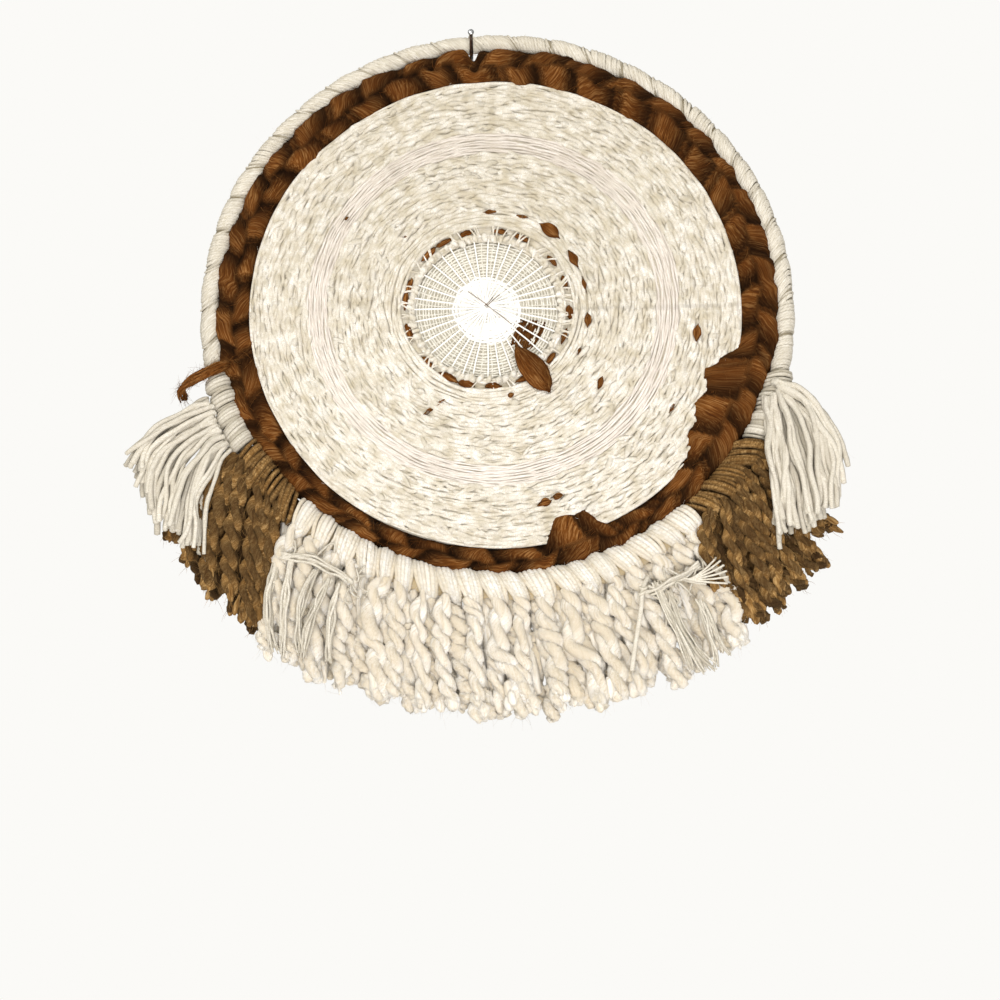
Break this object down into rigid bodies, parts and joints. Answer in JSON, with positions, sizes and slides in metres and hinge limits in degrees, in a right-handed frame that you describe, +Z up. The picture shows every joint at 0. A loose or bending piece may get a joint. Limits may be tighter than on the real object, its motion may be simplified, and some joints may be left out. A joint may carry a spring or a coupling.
{
  "type": "macrame and woven wall hanging on a hoop with its nail",
  "caption": "Round weaving on a yarn-wrapped hoop with a roving border, an open warp centre, knotted cream and brown fringes along its lower rim and a yarn tassel at each side, hung on a nail.",
  "frame": {"origin": "the point where the nail enters the wall, on the nail's axis; the wall is the plane Y = 0", "axes": "+X to the right as seen from the front, +Y into the wall, +Z up"},
  "size_m": [0.3491, 0.0431, 0.3584],
  "materials": {
    "cream_yarn": "matt smooth wool yarn, natural cream",
    "cream_cord": "matt two-ply twisted wool cord, fluffy at its ends, natural cream",
    "cream_weft": "matt hand-spun slub wool, woven over warp thread, natural cream",
    "brown_roving": "matt unspun wool roving, natural dark brown",
    "brown_yarn": "matt two-ply twisted wool cord, natural mid brown",
    "warp_thread": "smooth hard-twisted cotton warp thread, off-white",
    "nail_steel": "bright polished steel"
  },
  "bodies": {
    "root": {"nail": "nail_steel", "hoop_wrapped": "cream_yarn", "roving_ring": "brown_roving", "woven_disc": "cream_weft", "centre_gauze": "warp_thread", "warp_spokes": "warp_thread", "tassel_left": "cream_yarn", "fringe_brown_left": "brown_yarn", "fringe_cream": "cream_cord", "fringe_brown_right": "brown_yarn", "tassel_right": "cream_yarn", "threads_left": "cream_yarn", "threads_right": "cream_yarn", "roving_leaf": "brown_roving", "roving_wisp": "brown_roving"}
  },
  "joints": []
}
